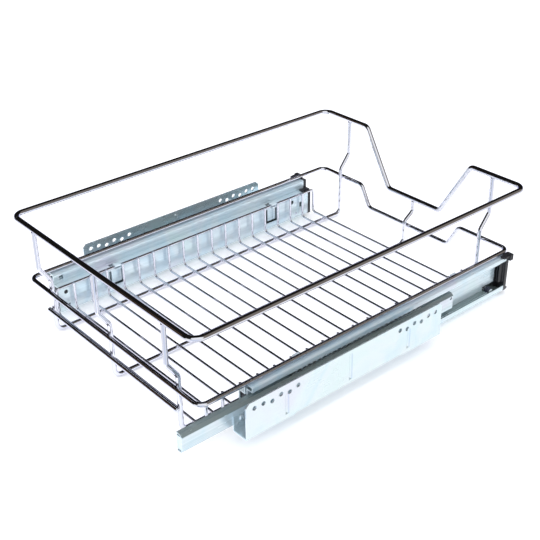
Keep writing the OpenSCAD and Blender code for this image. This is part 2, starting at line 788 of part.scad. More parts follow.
top_rim();
middle_rim();
rear_cross_wire();
left_runner();
middle_runner();
right_runner();
floor_wires();
floor_loop();
left_drawer_rail();
left_front_cap();
left_rear_buffer();
left_stop_roller();
left_stop_pin();
left_outer_cage();
left_outer_balls();
left_middle_rail();
left_inner_cage();
left_inner_balls();
left_cabinet_rail();
left_bracket();
left_bracket_rivets();
right_drawer_rail();
right_front_cap();
right_rear_buffer();
right_stop_roller();
right_stop_pin();
right_outer_cage();
right_outer_balls();
right_middle_rail();
right_inner_cage();
right_inner_balls();
right_cabinet_rail();
right_bracket();
right_bracket_rivets();
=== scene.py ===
# Pull out pantry basket on its two ball bearing slides, dressed over the CAD nodes
import bpy
import bmesh
import json
import math
from mathutils import Matrix, Vector


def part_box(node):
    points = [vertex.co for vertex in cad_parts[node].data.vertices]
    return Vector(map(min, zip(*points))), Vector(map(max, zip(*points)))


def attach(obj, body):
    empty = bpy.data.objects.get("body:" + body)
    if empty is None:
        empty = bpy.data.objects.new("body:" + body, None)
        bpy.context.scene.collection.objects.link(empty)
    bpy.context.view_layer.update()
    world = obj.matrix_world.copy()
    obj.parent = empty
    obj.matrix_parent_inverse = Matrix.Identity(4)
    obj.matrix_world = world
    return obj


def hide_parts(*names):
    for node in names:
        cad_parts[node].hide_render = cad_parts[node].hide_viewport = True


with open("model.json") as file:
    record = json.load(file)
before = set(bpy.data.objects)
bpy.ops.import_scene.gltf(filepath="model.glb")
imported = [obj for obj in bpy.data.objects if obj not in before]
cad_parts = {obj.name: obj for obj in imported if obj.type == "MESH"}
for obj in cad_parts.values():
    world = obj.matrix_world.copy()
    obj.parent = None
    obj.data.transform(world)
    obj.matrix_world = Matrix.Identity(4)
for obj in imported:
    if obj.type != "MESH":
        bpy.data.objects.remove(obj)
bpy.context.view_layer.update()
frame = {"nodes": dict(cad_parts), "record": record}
scene = bpy.context.scene
print("frame loaded")


# camera, as the photograph was taken
cameraSet = {
    "place": (-0.7428, 0.6259, 0.6079),
    "heading": 229.85,       # degrees, turned left from +Y
    "pitch": -29.96,
    "roll": -0.77,
    "lens": 66.73,
    "sensor": 36.0,
}

cameraData = bpy.data.cameras.new("studioCamera")
cameraData.lens = cameraSet["lens"]
cameraData.sensor_width = cameraSet["sensor"]
cameraData.clip_start = 0.01
camera = bpy.data.objects.new("studioCamera", cameraData)
scene.collection.objects.link(camera)
turned = (Matrix.Rotation(math.radians(cameraSet["heading"]), 4, 'Z')
          @ Matrix.Rotation(math.radians(90 + cameraSet["pitch"]), 4, 'X')
          @ Matrix.Rotation(math.radians(cameraSet["roll"]), 4, 'Z'))
camera.matrix_world = Matrix.Translation(cameraSet["place"]) @ turned
scene.camera = camera
print("camera set")


# helpers for node trees
def addNode(tree, kind, **values):
    node = tree.nodes.new(kind)
    for name, value in values.items():
        setattr(node, name, value)
    return node


def newGroup(name, inputs, outputs):
    tree = bpy.data.node_groups.new(name, "ShaderNodeTree")
    tree.interface.new_socket("Vector", in_out='INPUT', socket_type='NodeSocketVector')
    for label, value in inputs:
        kind = 'NodeSocketColor' if isinstance(value, tuple) else 'NodeSocketFloat'
        tree.interface.new_socket(label, in_out='INPUT', socket_type=kind).default_value = value
    for label, kind in outputs:
        tree.interface.new_socket(label, in_out='OUTPUT', socket_type=kind)
    return tree, tree.nodes.new("NodeGroupInput"), tree.nodes.new("NodeGroupOutput")


def useGroup(tree, group, coord, values):
    node = addNode(tree, "ShaderNodeGroup", node_tree=group)
    tree.links.new(coord, node.inputs["Vector"])
    for name, value in values.items():
        node.inputs[name].default_value = value
    return node


def setInput(tree, socket, value):
    if isinstance(value, (int, float, tuple)):
        socket.default_value = value
    else:
        tree.links.new(value, socket)


def mathNode(tree, operation, first, second):
    node = addNode(tree, "ShaderNodeMath", operation=operation)
    setInput(tree, node.inputs[0], first)
    setInput(tree, node.inputs[1], second)
    return node.outputs[0]


def rangeNode(tree, value, fromLow, fromHigh, toLow, toHigh):
    node = addNode(tree, "ShaderNodeMapRange")
    setInput(tree, node.inputs["Value"], value)
    setInput(tree, node.inputs["From Min"], fromLow)
    setInput(tree, node.inputs["From Max"], fromHigh)
    setInput(tree, node.inputs["To Min"], toLow)
    setInput(tree, node.inputs["To Max"], toHigh)
    return node.outputs["Result"]


def colorMix(tree, factor, first, second, blend='MIX'):
    node = addNode(tree, "ShaderNodeMix", data_type='RGBA', blend_type=blend)
    setInput(tree, node.inputs[0], factor)
    setInput(tree, node.inputs[6], first)
    setInput(tree, node.inputs[7], second)
    return node.outputs[2]


# studio: white floor and walls, soft even light, and a dark ceiling that only the metal mirrors
studioSet = {
    "floorSize": 14.0,
    "mirroredReach": (-0.165, 0.40, -0.45, 0.31),       # lowest and highest x, lowest and highest y
    "floorHeight": -0.0006,
    "mirroredHeight": -0.0003,
    "floorColor": (0.95, 0.95, 0.955, 1.0),
    "floorRoughness": 0.9,
    "floorGlow": 0.15,
    "wallColor": (1.0, 1.0, 1.0, 1.0),
    "lowLight": (0.78, 0.80, 0.86, 1.0),
    "highLight": (1.60, 1.62, 1.68, 1.0),
    "ceilingColor": (0.010, 0.009, 0.008, 1.0),
    "ceilingFrom": (0.01, 0.07),       # height of a direction where the mirrored wall turns dark
}

# patches of the room that the metal mirrors: each fades in between two cosines from its direction
skyPatches = {
    "brownWall": {"way": (-0.75, -0.56, 0.35), "edge": 0.78, "full": 0.84,
                  "color": (0.20, 0.175, 0.15, 1.0)},
    "softbox": {"way": (-0.785, 0.412, 0.461), "edge": 0.76, "full": 0.80,
                "color": studioSet["wallColor"]},
    "lilacFloor": {"way": (-0.66, 0.56, -0.50), "edge": 0.72, "full": 0.93,
                   "color": (0.74, 0.80, 0.95, 1.0)},
    "doorLeft": {"way": (0.50, 0.86, -0.02), "edge": 0.94, "full": 0.965,
                 "color": studioSet["ceilingColor"]},
    "doorRight": {"way": (0.76, 0.65, -0.02), "edge": 0.94, "full": 0.965,
                  "color": studioSet["ceilingColor"]},
    "shelf": {"way": (0.66, 0.64, 0.32), "edge": 0.992, "full": 0.998,
              "color": (0.14, 0.08, 0.05, 1.0)},
}

floorMaterial = bpy.data.materials.new("paleFloor")
floorMaterial.use_nodes = True
floorShader = floorMaterial.node_tree.nodes["Principled BSDF"]
floorShader.inputs["Base Color"].default_value = studioSet["floorColor"]
floorShader.inputs["Roughness"].default_value = studioSet["floorRoughness"]
floorShader.inputs["Specular IOR Level"].default_value = 0.0
floorShader.inputs["Emission Color"].default_value = studioSet["wallColor"]
floorShader.inputs["Emission Strength"].default_value = studioSet["floorGlow"]


def addFloor(name, reach, height, mirrored):
    lowX, highX, lowY, highY = reach
    middle = ((lowX + highX) / 2, (lowY + highY) / 2, height)
    bpy.ops.mesh.primitive_plane_add(size=1.0, location=middle)
    plane = bpy.context.active_object
    plane.name = name
    plane.scale = (highX - lowX, highY - lowY, 1.0)
    bpy.ops.object.transform_apply(location=True, rotation=True, scale=True)
    plane.visible_glossy = mirrored
    plane.data.materials.append(floorMaterial)


halfFloor = studioSet["floorSize"] / 2
floorReach = (-halfFloor, halfFloor, -halfFloor, halfFloor)
addFloor("studioFloor", floorReach, studioSet["floorHeight"], False)
addFloor("mirroredFloor", studioSet["mirroredReach"], studioSet["mirroredHeight"], True)

world = bpy.data.worlds.new("studioWorld")
scene.world = world
world.use_nodes = True
world.cycles.sampling_method = 'NONE'
sky = world.node_tree
skyWay = addNode(sky, "ShaderNodeTexCoord").outputs["Generated"]
skySplit = addNode(sky, "ShaderNodeSeparateXYZ")
sky.links.new(skyWay, skySplit.inputs[0])


def skyPatch(under, patch):
    facing = addNode(sky, "ShaderNodeVectorMath", operation='DOT_PRODUCT')
    sky.links.new(skyWay, facing.inputs[0])
    facing.inputs[1].default_value = Vector(patch["way"]).normalized()
    factor = rangeNode(sky, facing.outputs["Value"], patch["edge"], patch["full"], 0.0, 1.0)
    return colorMix(sky, factor, under, patch["color"])


ceilingFactor = rangeNode(sky, skySplit.outputs["Z"], *studioSet["ceilingFrom"], 0.0, 1.0)
mirrored = colorMix(sky, ceilingFactor, studioSet["wallColor"], studioSet["ceilingColor"])
for patch in skyPatches.values():
    mirrored = skyPatch(mirrored, patch)
lightPath = addNode(sky, "ShaderNodeLightPath")
highFactor = rangeNode(sky, skySplit.outputs["Z"], 0.0, 1.0, 0.0, 1.0)
softLight = colorMix(sky, highFactor, studioSet["lowLight"], studioSet["highLight"])
skyColor = colorMix(sky, lightPath.outputs["Is Glossy Ray"], softLight, mirrored)
skyColor = colorMix(sky, lightPath.outputs["Is Camera Ray"], skyColor, studioSet["wallColor"])
sky.links.new(skyColor, sky.nodes["Background"].inputs["Color"])
scene.view_settings.view_transform = 'Standard'
print("studio set")


# how the shared effects below read their noise: a span is the pair of values that a mask fades between
noiseSet = {
    "cloudDetail": 3.0,
    "fineDetail": 2.0,
    "lineDetail": 4.0,
    "driftSpan": (0.35, 0.65),
    "speckSpan": (0.05, 0.16),
    "rareSpan": (0.58, 0.66),
    "upwardsSpan": (0.3, 0.7),       # share of the normal that looks up
    "wornSpan": (0.45, 0.75),
    "tintDistortion": 0.6,
    "mouldCloudScale": 60.0,
    "bumpDepth": 0.0002,
}


# cloudy plating: roughness that drifts, and small specks
def buildPlatingCloud():
    tree, inside, outside = newGroup(
        "platingCloud", [("Scale", 40.0), ("Roughness", 0.08), ("Spread", 0.04), ("Speck Size", 900.0)],
        [("Roughness", 'NodeSocketFloat'), ("Speck", 'NodeSocketFloat'), ("Height", 'NodeSocketFloat')])
    cloud = addNode(tree, "ShaderNodeTexNoise")
    cloud.inputs["Detail"].default_value = noiseSet["cloudDetail"]
    specks = addNode(tree, "ShaderNodeTexVoronoi")
    fine = addNode(tree, "ShaderNodeTexNoise")
    fine.inputs["Detail"].default_value = noiseSet["fineDetail"]
    for node in (cloud, specks, fine):
        tree.links.new(inside.outputs["Vector"], node.inputs["Vector"])
    tree.links.new(inside.outputs["Scale"], cloud.inputs["Scale"])
    tree.links.new(inside.outputs["Speck Size"], specks.inputs["Scale"])
    tree.links.new(inside.outputs["Speck Size"], fine.inputs["Scale"])
    drift = rangeNode(tree, cloud.outputs["Fac"], *noiseSet["driftSpan"], 0.0, inside.outputs["Spread"])
    rough = mathNode(tree, 'ADD', drift, inside.outputs["Roughness"])
    tree.links.new(rough, outside.inputs["Roughness"])
    near = rangeNode(tree, specks.outputs["Distance"], *noiseSet["speckSpan"], 1.0, 0.0)
    rare = rangeNode(tree, fine.outputs["Fac"], *noiseSet["rareSpan"], 0.0, 1.0)
    tree.links.new(mathNode(tree, 'MULTIPLY', near, rare), outside.inputs["Speck"])
    tree.links.new(fine.outputs["Fac"], outside.inputs["Height"])
    return tree


# fine lines that the strip mill leaves along the sheet
def buildRollingMarks():
    tree, inside, outside = newGroup(
        "rollingMarks", [("Across", 900.0), ("Along", 9.0), ("Low", 0.35), ("High", 0.65)],
        [("Streak", 'NodeSocketFloat'), ("Height", 'NodeSocketFloat')])
    stretch = addNode(tree, "ShaderNodeCombineXYZ")
    for socket, label in (("X", "Across"), ("Y", "Along"), ("Z", "Across")):
        tree.links.new(inside.outputs[label], stretch.inputs[socket])
    scaled = addNode(tree, "ShaderNodeVectorMath", operation='MULTIPLY')
    tree.links.new(inside.outputs["Vector"], scaled.inputs[0])
    tree.links.new(stretch.outputs[0], scaled.inputs[1])
    lines = addNode(tree, "ShaderNodeTexNoise")
    lines.inputs["Scale"].default_value = 1.0
    lines.inputs["Detail"].default_value = noiseSet["lineDetail"]
    tree.links.new(scaled.outputs[0], lines.inputs["Vector"])
    streak = rangeNode(tree, lines.outputs["Fac"], inside.outputs["Low"], inside.outputs["High"], 0.0, 1.0)
    tree.links.new(streak, outside.inputs["Streak"])
    tree.links.new(lines.outputs["Fac"], outside.inputs["Height"])
    return tree


# the faint pink, blue and green shimmer of passivated zinc
tintStops = [(0.32, (1.0, 0.86, 0.96)), (0.42, (1.0, 1.0, 1.0)), (0.51, (0.80, 0.94, 1.0)),
             (0.59, (1.0, 1.0, 1.0)), (0.68, (0.90, 1.0, 0.95))]


def buildPassivationTint():
    tree, inside, outside = newGroup(
        "passivationTint", [("Scale", 14.0), ("Base", (0.8, 0.85, 0.9, 1.0)), ("Amount", 0.5)],
        [("Color", 'NodeSocketColor')])
    cloud = addNode(tree, "ShaderNodeTexNoise")
    cloud.inputs["Detail"].default_value = noiseSet["cloudDetail"]
    cloud.inputs["Distortion"].default_value = noiseSet["tintDistortion"]
    tree.links.new(inside.outputs["Vector"], cloud.inputs["Vector"])
    tree.links.new(inside.outputs["Scale"], cloud.inputs["Scale"])
    bands = addNode(tree, "ShaderNodeValToRGB")
    stops = bands.color_ramp.elements
    for number, (place, tint) in enumerate(tintStops):
        stop = stops[number] if number < 2 else stops.new(place)
        stop.position = place
        stop.color = (*tint, 1.0)
    tree.links.new(cloud.outputs["Fac"], bands.inputs[0])
    tinted = colorMix(tree, inside.outputs["Amount"], inside.outputs["Base"], bands.outputs["Color"],
                      'MULTIPLY')
    tree.links.new(tinted, outside.inputs["Color"])
    return tree


# spark eroded grain of moulded plastic and rubber
def buildMouldGrain():
    tree, inside, outside = newGroup(
        "mouldGrain", [("Scale", 1800.0), ("Roughness", 0.4), ("Spread", 0.1)],
        [("Roughness", 'NodeSocketFloat'), ("Height", 'NodeSocketFloat')])
    grain = addNode(tree, "ShaderNodeTexNoise")
    grain.inputs["Detail"].default_value = noiseSet["fineDetail"]
    cloud = addNode(tree, "ShaderNodeTexNoise")
    cloud.inputs["Scale"].default_value = noiseSet["mouldCloudScale"]
    for node in (grain, cloud):
        tree.links.new(inside.outputs["Vector"], node.inputs["Vector"])
    tree.links.new(inside.outputs["Scale"], grain.inputs["Scale"])
    drift = rangeNode(tree, cloud.outputs["Fac"], *noiseSet["driftSpan"], 0.0, inside.outputs["Spread"])
    rough = mathNode(tree, 'ADD', drift, inside.outputs["Roughness"])
    tree.links.new(rough, outside.inputs["Roughness"])
    tree.links.new(grain.outputs["Fac"], outside.inputs["Height"])
    return tree


# painted shade: darkens the faces which look up, below a given height, for the shaded floors of the slide
# channels
def buildPaintedChannelShade():
    tree, inside, outside = newGroup(
        "paintedChannelShade", [("Top", 0.02), ("Fade", 0.004), ("Amount", 1.0)], [("Painted Shade", 'NodeSocketFloat')])
    place = addNode(tree, "ShaderNodeSeparateXYZ")
    tree.links.new(inside.outputs["Vector"], place.inputs[0])
    fadeFrom = mathNode(tree, 'SUBTRACT', inside.outputs["Top"], inside.outputs["Fade"])
    low = rangeNode(tree, place.outputs["Z"], fadeFrom, inside.outputs["Top"], 1.0, 0.0)
    facing = addNode(tree, "ShaderNodeSeparateXYZ")
    tree.links.new(addNode(tree, "ShaderNodeNewGeometry").outputs["Normal"], facing.inputs[0])
    upwards = rangeNode(tree, facing.outputs["Z"], *noiseSet["upwardsSpan"], 0.0, 1.0)
    paintedShade = mathNode(tree, 'MULTIPLY', low, upwards)
    paintedShade = mathNode(tree, 'MULTIPLY', paintedShade, inside.outputs["Amount"])
    tree.links.new(paintedShade, outside.inputs["Painted Shade"])
    return tree


platingCloud = buildPlatingCloud()
rollingMarks = buildRollingMarks()
passivationTint = buildPassivationTint()
mouldGrain = buildMouldGrain()
# the last group paints shade on the low upward faces in the slide channels
paintedChannelShade = buildPaintedChannelShade()


def newFinish(name, metallic):
    material = bpy.data.materials.new(name)
    material.use_nodes = True
    tree = material.node_tree
    shader = tree.nodes["Principled BSDF"]
    shader.inputs["Metallic"].default_value = metallic
    coord = addNode(tree, "ShaderNodeTexCoord").outputs["Object"]
    return material, tree, shader, coord


def bumpInto(tree, shader, height, strength):
    bump = addNode(tree, "ShaderNodeBump")
    bump.inputs["Strength"].default_value = strength
    bump.inputs["Distance"].default_value = noiseSet["bumpDepth"]
    tree.links.new(height, bump.inputs["Height"])
    tree.links.new(bump.outputs[0], shader.inputs["Normal"])


# bright plating of the wires, and polished balls
polishSet = {
    "chrome": {"color": (0.80, 0.81, 0.87, 1.0), "speckColor": (0.45, 0.44, 0.46, 1.0),
               "edge": (0.50, 0.50, 0.68, 1.0), "bump": 0.04,
               "cloud": {"Scale": 55.0, "Roughness": 0.02, "Spread": 0.04, "Speck Size": 700.0}},
    "ball": {"color": (0.82, 0.83, 0.86, 1.0), "speckColor": (0.50, 0.50, 0.52, 1.0),
             "edge": (0.80, 0.80, 0.85, 1.0), "bump": 0.02,
             "cloud": {"Scale": 120.0, "Roughness": 0.04, "Spread": 0.05, "Speck Size": 1500.0}},
}


def makePolished(name):
    chosen = polishSet[name]
    material, tree, shader, coord = newFinish(name, 1.0)
    shader.inputs["Specular Tint"].default_value = chosen["edge"]
    cloud = useGroup(tree, platingCloud, coord, chosen["cloud"])
    color = colorMix(tree, cloud.outputs["Speck"], chosen["color"], chosen["speckColor"])
    tree.links.new(color, shader.inputs["Base Color"])
    tree.links.new(cloud.outputs["Roughness"], shader.inputs["Roughness"])
    bumpInto(tree, shader, cloud.outputs["Height"], chosen["bump"])
    return material


# zinc plated sheet: rails, brackets, cages and riveted parts; the entries that darken low upward faces are
# painted shade for the slide channels
zincSet = {
    "railZinc": {"metallic": 0.45, "color": (0.80, 0.90, 0.95, 1.0), "dark": (0.42, 0.53, 0.58, 1.0),
                 "tint": 0.6, "scale": 16.0, "streak": 0.34, "bump": 0.05,
                 "lines": {"Across": 600.0, "Along": 5.0},
                 "cloud": {"Scale": 22.0, "Roughness": 0.12, "Spread": 0.12, "Speck Size": 500.0},
                 "paintedShade": {"Top": 0.030, "Fade": 0.003, "Amount": 0.85}},
    # cabinet and middle rails: more mirror-like, with painted shade on every upward face below the set top
    # height
    "greasedZincPaintedShade": {"metallic": 0.50, "color": (0.76, 0.86, 0.91, 1.0), "dark": (0.38, 0.48, 0.52, 1.0),
                    "tint": 0.5, "scale": 16.0, "streak": 0.38, "bump": 0.05,
                    "lines": {"Across": 700.0, "Along": 4.0},
                    "cloud": {"Scale": 30.0, "Roughness": 0.14, "Spread": 0.12, "Speck Size": 500.0},
                    "paintedShade": {"Top": 0.080, "Fade": 0.003, "Amount": 0.75}},
    "bracketZinc": {"metallic": 0.75, "color": (0.82, 0.92, 0.96, 1.0), "dark": (0.72, 0.83, 0.87, 1.0),
                    "tint": 0.5, "scale": 11.0, "streak": 0.16, "bump": 0.04,
                    "lines": {"Across": 420.0, "Along": 5.0},
                    "cloud": {"Scale": 18.0, "Roughness": 0.16, "Spread": 0.12, "Speck Size": 420.0}},
    "cageZinc": {"metallic": 0.8, "color": (0.40, 0.44, 0.45, 1.0), "dark": (0.20, 0.23, 0.23, 1.0),
                 "tint": 0.2, "scale": 20.0, "streak": 0.6, "bump": 0.06,
                 "lines": {"Across": 1200.0, "Along": 12.0},
                 "cloud": {"Scale": 40.0, "Roughness": 0.20, "Spread": 0.14, "Speck Size": 600.0}},
    "rivetZinc": {"metallic": 0.8, "color": (0.84, 0.90, 0.94, 1.0), "dark": (0.66, 0.72, 0.78, 1.0),
                  "tint": 0.5, "scale": 60.0, "streak": 0.2, "bump": 0.04,
                  "lines": {"Across": 500.0, "Along": 80.0},
                  "cloud": {"Scale": 90.0, "Roughness": 0.14, "Spread": 0.10, "Speck Size": 900.0}},
}
sheetSet = {
    # colour of the painted shade on the channel floors
    "paintedShadeColor": (0.16, 0.21, 0.20, 1.0),
    "streakRough": 0.10,       # roughness added for each unit of a finish's streak
}


def makeZinc(name):
    chosen = zincSet[name]
    material, tree, shader, coord = newFinish(name, chosen["metallic"])
    cloud = useGroup(tree, platingCloud, coord, chosen["cloud"])
    lines = useGroup(tree, rollingMarks, coord, chosen["lines"])
    tint = {"Scale": chosen["scale"], "Base": chosen["color"], "Amount": chosen["tint"]}
    shimmer = useGroup(tree, passivationTint, coord, tint)
    streak = mathNode(tree, 'MULTIPLY', lines.outputs["Streak"], chosen["streak"])
    marked = colorMix(tree, streak, shimmer.outputs["Color"], chosen["dark"])
    # painted shade: low upward faces are mixed towards the shade colour
    if "paintedShade" in chosen:
        paintedShade = useGroup(tree, paintedChannelShade, coord, chosen["paintedShade"])
        marked = colorMix(tree, paintedShade.outputs["Painted Shade"], marked, sheetSet["paintedShadeColor"])
    tree.links.new(marked, shader.inputs["Base Color"])
    rough = mathNode(tree, 'MULTIPLY', streak, sheetSet["streakRough"])
    rough = mathNode(tree, 'ADD', cloud.outputs["Roughness"], rough)
    tree.links.new(rough, shader.inputs["Roughness"])
    bumpInto(tree, shader, lines.outputs["Height"], chosen["bump"])
    return material


# black mouldings and the rubber rollers
mouldSet = {
    "blackNylon": {"color": (0.012, 0.012, 0.015, 1.0), "worn": (0.05, 0.05, 0.058, 1.0),
                   "specular": 0.5, "bump": 0.12,
                   "grain": {"Scale": 1600.0, "Roughness": 0.26, "Spread": 0.16}},
    "darkRubber": {"color": (0.020, 0.026, 0.042, 1.0), "worn": (0.07, 0.085, 0.12, 1.0),
                   "specular": 0.4, "bump": 0.2,
                   "grain": {"Scale": 1100.0, "Roughness": 0.38, "Spread": 0.16}},
}


def makeMoulded(name):
    chosen = mouldSet[name]
    material, tree, shader, coord = newFinish(name, 0.0)
    grain = useGroup(tree, mouldGrain, coord, chosen["grain"])
    worn = rangeNode(tree, grain.outputs["Height"], *noiseSet["wornSpan"], 0.0, 1.0)
    tree.links.new(colorMix(tree, worn, chosen["color"], chosen["worn"]), shader.inputs["Base Color"])
    tree.links.new(grain.outputs["Roughness"], shader.inputs["Roughness"])
    shader.inputs["Specular IOR Level"].default_value = chosen["specular"]
    bumpInto(tree, shader, grain.outputs["Height"], chosen["bump"])
    return material


finishes = {name: makePolished(name) for name in polishSet}
finishes.update({name: makeZinc(name) for name in zincSet})
finishes.update({name: makeMoulded(name) for name in mouldSet})
print("finishes made")


# every CAD node gets the finish of the first of these that its name holds, and otherwise chrome
finishOf = [
    ("bracket_rivets", "rivetZinc"), ("bracket", "bracketZinc"), ("drawer_rail", "railZinc"),
    ("_rail", "greasedZincPaintedShade"), ("_cage", "cageZinc"), ("_balls", "ball"), ("stop_pin", "rivetZinc"),
    ("stop_roller", "darkRubber"), ("front_cap", "blackNylon"), ("rear_buffer", "blackNylon"),
]


def dressNodes():
    for name, node in frame["nodes"].items():
        chosen = next((finish for part, finish in finishOf if part in name), "chrome")
        node.data.materials.clear()
        node.data.materials.append(finishes[chosen])


dressNodes()
print("nodes dressed")


# helpers for modelling
meshSet = {
    "bevelOver": 35,       # degrees between faces from which an edge is bevelled
    "smoothBevel": 40,
    "smoothTurned": 35,
    "turnStart": 0.001,
    "mergeGap": 0.000002,
    "facing": 0.9,       # share of a normal along an axis from which a face looks that way
    "samePlane": 0.0001,
}


def deselectAll():
    for thing in bpy.context.selected_objects:
        thing.select_set(False)


def activate(piece):
    deselectAll()
    piece.select_set(True)
    bpy.context.view_layer.objects.active = piece


def editPiece(piece):
    activate(piece)
    bpy.ops.object.mode_set(mode='EDIT')
    bpy.context.tool_settings.mesh_select_mode = (False, False, True)


def leaveEdit():
    bpy.ops.object.mode_set(mode='OBJECT')


def chooseFaces(piece, test):
    mesh = bmesh.from_edit_mesh(piece.data)
    for face in mesh.faces:
        face.select_set(False)
    for face in mesh.faces:
        if test(face.calc_center_median(), face.normal):
            face.select_set(True)
    bmesh.update_edit_mesh(piece.data)


def settlePlace(piece):
    activate(piece)
    bpy.ops.object.transform_apply(location=True, rotation=True, scale=True)


def roundEdges(piece, width, segments=2):
    activate(piece)
    soften = piece.modifiers.new("softEdges", 'BEVEL')
    soften.width = width
    soften.segments = segments
    soften.limit_method = 'ANGLE'
    soften.angle_limit = math.radians(meshSet["bevelOver"])
    bpy.ops.object.modifier_apply(modifier=soften.name)
    bpy.ops.object.shade_smooth_by_angle(angle=math.radians(meshSet["smoothBevel"]))


def joinPieces(pieces, name):
    deselectAll()
    for piece in pieces:
        piece.select_set(True)
    bpy.context.view_layer.objects.active = pieces[0]
    if len(pieces) > 1:
        bpy.ops.object.join()
    joined = bpy.context.view_layer.objects.active
    joined.name = name
    joined.data.name = name
    return joined


def finishPiece(piece, finish, body):
    piece.data.materials.clear()
    piece.data.materials.append(finishes[finish])
    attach(piece, body)


def turnedPiece(name, profile, centre, steps):
    # profile is a closed outline of (radius, along) points, turned about the X axis through centre
    deselectAll()
    start = meshSet["turnStart"]
    bpy.ops.mesh.primitive_circle_add(vertices=len(profile), radius=start, location=(0, 0, 0))
    piece = bpy.context.active_object
    piece.name = name
    editPiece(piece)
    mesh = bmesh.from_edit_mesh(piece.data)
    for vertex, (radius, along) in zip(mesh.verts, profile):
        vertex.co = (along, 0.0, radius)
    bmesh.update_edit_mesh(piece.data)
    bpy.ops.mesh.select_all(action='SELECT')
    bpy.ops.mesh.spin(steps=steps, angle=2 * math.pi, center=(0, 0, 0), axis=(1, 0, 0))
    bpy.ops.mesh.select_all(action='SELECT')
    bpy.ops.mesh.remove_doubles(threshold=meshSet["mergeGap"])
    bpy.ops.mesh.delete_loose(use_verts=True, use_edges=True, use_faces=False)
    bpy.ops.mesh.select_all(action='SELECT')
    bpy.ops.mesh.normals_make_consistent(inside=False)
    leaveEdit()
    piece.location = centre
    settlePlace(piece)
    bpy.ops.object.shade_smooth_by_angle(angle=math.radians(meshSet["smoothTurned"]))
    return piece


# a slide's own measures: u goes outwards from the drawer rail's inner wall, s forwards from its rear
slideSet = {"lipOut": 0.021, "ledge": 0.033, "stepIn": 0.0085, "sheet": 0.0012, "fit": 0.0002}


class SlidePlace:
    def __init__(self, side):
        low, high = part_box(f"{side}_drawer_rail")
        self.sign = -1 if side == "left" else 1
        outer = high.x if self.sign > 0 else -low.x
        self.wall = outer - slideSet["lipOut"]
        self.rear = high.y
        self.length = high.y - low.y
        self.bottom = low.z
        self.height = high.z - low.z

    def point(self, u, s, z):
        return Vector((self.sign * (self.wall + u), self.rear - s, self.bottom + z))

    def span(self, node):
        # lowest and highest u, s and z of a CAD node
        low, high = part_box(node)
        us = sorted(self.sign * x - self.wall for x in (low.x, high.x))
        return us, [self.rear - high.y, self.rear - low.y], [low.z - self.bottom, high.z - self.bottom]

    def slab(self, us, ss, zs):
        # a box shaped start for a moulding
        first = self.point(us[0], ss[0], zs[0])
        second = self.point(us[1], ss[1], zs[1])
        deselectAll()
        bpy.ops.mesh.primitive_cube_add(size=1.0, location=(first + second) / 2)
        slab = bpy.context.active_object
        slab.scale = [abs(a - b) for a, b in zip(first, second)]
        settlePlace(slab)
        return slab


slides = {side: SlidePlace(side) for side in ("left", "right")}


# moulded front caps
capSet = {"plate": 0.005, "rim": 0.0014, "recess": 0.0012, "edge": 0.0005, "low": 0.0122, "ribCount": 3,
          "ribWidth": 0.0011, "ribReach": 0.005, "lugWidth": 0.0084, "lugRise": 0.004,
          "lugDrop": 0.0035, "lugEdge": 0.0007, "tongue": 0.009, "sole": 0.0022, "foot": 0.004,
          "pocketRim": 0.002, "pocket": 0.0015, "pocketSlope": 0.0003, "plug": 0.002, "seat": 0.0005,
          "tongueSeat": 0.001, "shortBy": 0.0004, "hookOver": 0.0018, "taper": (0.8, 1, 0.7)}
forward = Vector((0, -1, 0))


def makeCapPlate(place):
    # drawn up beyond the ledge to the rail's full height, with a recess in its front
    front = place.length + capSet["plate"]
    plate = place.slab((0, slideSet["lipOut"]), (place.length, front), (0, slideSet["ledge"]))
    editPiece(plate)
    bpy.ops.mesh.select_all(action='SELECT')
    step = place.point(slideSet["stepIn"], 0, 0)
    bpy.ops.mesh.bisect(plane_co=step, plane_no=(1, 0, 0))
    chooseFaces(plate, lambda spot, normal: normal.z > meshSet["facing"]
                and abs(spot.x) > abs(step.x))
    rise = place.height - slideSet["ledge"]
    bpy.ops.mesh.extrude_region_move(TRANSFORM_OT_translate={"value": (0, 0, rise)})
    chooseFaces(plate, lambda spot, normal: normal.dot(forward) > meshSet["facing"])
    bpy.ops.mesh.inset(thickness=capSet["rim"])
    bpy.ops.mesh.extrude_region_move(TRANSFORM_OT_translate={"value": -forward * capSet["recess"]})
    leaveEdit()
    roundEdges(plate, capSet["edge"])
    return plate


def makeCapPlug(place):
    # plug in the ball channel, with ribs drawn out of its rear face
    sheet, fit = slideSet["sheet"], slideSet["fit"]
    inner, outer = slideSet["stepIn"] + sheet + fit, slideSet["lipOut"] - sheet - fit
    plug = place.slab((inner, outer), (place.length - capSet["plug"], place.length + capSet["seat"]),
                      (capSet["low"], place.height - sheet - 3 * fit))
    editPiece(plug)
    pitch = (outer - inner) / (capSet["ribCount"] + 0.5)       # a quarter pitch is left at either end
    ribs = [inner + pitch * (number + 0.75) for number in range(capSet["ribCount"])]
    for rib in ribs:
        for edge in (-0.5, 0.5):
            bpy.ops.mesh.select_all(action='SELECT')
            cut = place.point(rib + edge * capSet["ribWidth"], 0, 0)
            bpy.ops.mesh.bisect(plane_co=cut, plane_no=(1, 0, 0))
    ribX = [abs(place.point(rib, 0, 0).x) for rib in ribs]
    chooseFaces(plug, lambda spot, normal: normal.dot(forward) < -meshSet["facing"]
                and min(abs(abs(spot.x) - x) for x in ribX) < capSet["ribWidth"] / 2)
    bpy.ops.mesh.extrude_region_move(TRANSFORM_OT_translate={"value": -forward * capSet["ribReach"]})
    leaveEdit()
    roundEdges(plug, capSet["edge"] / 2)
    return plug


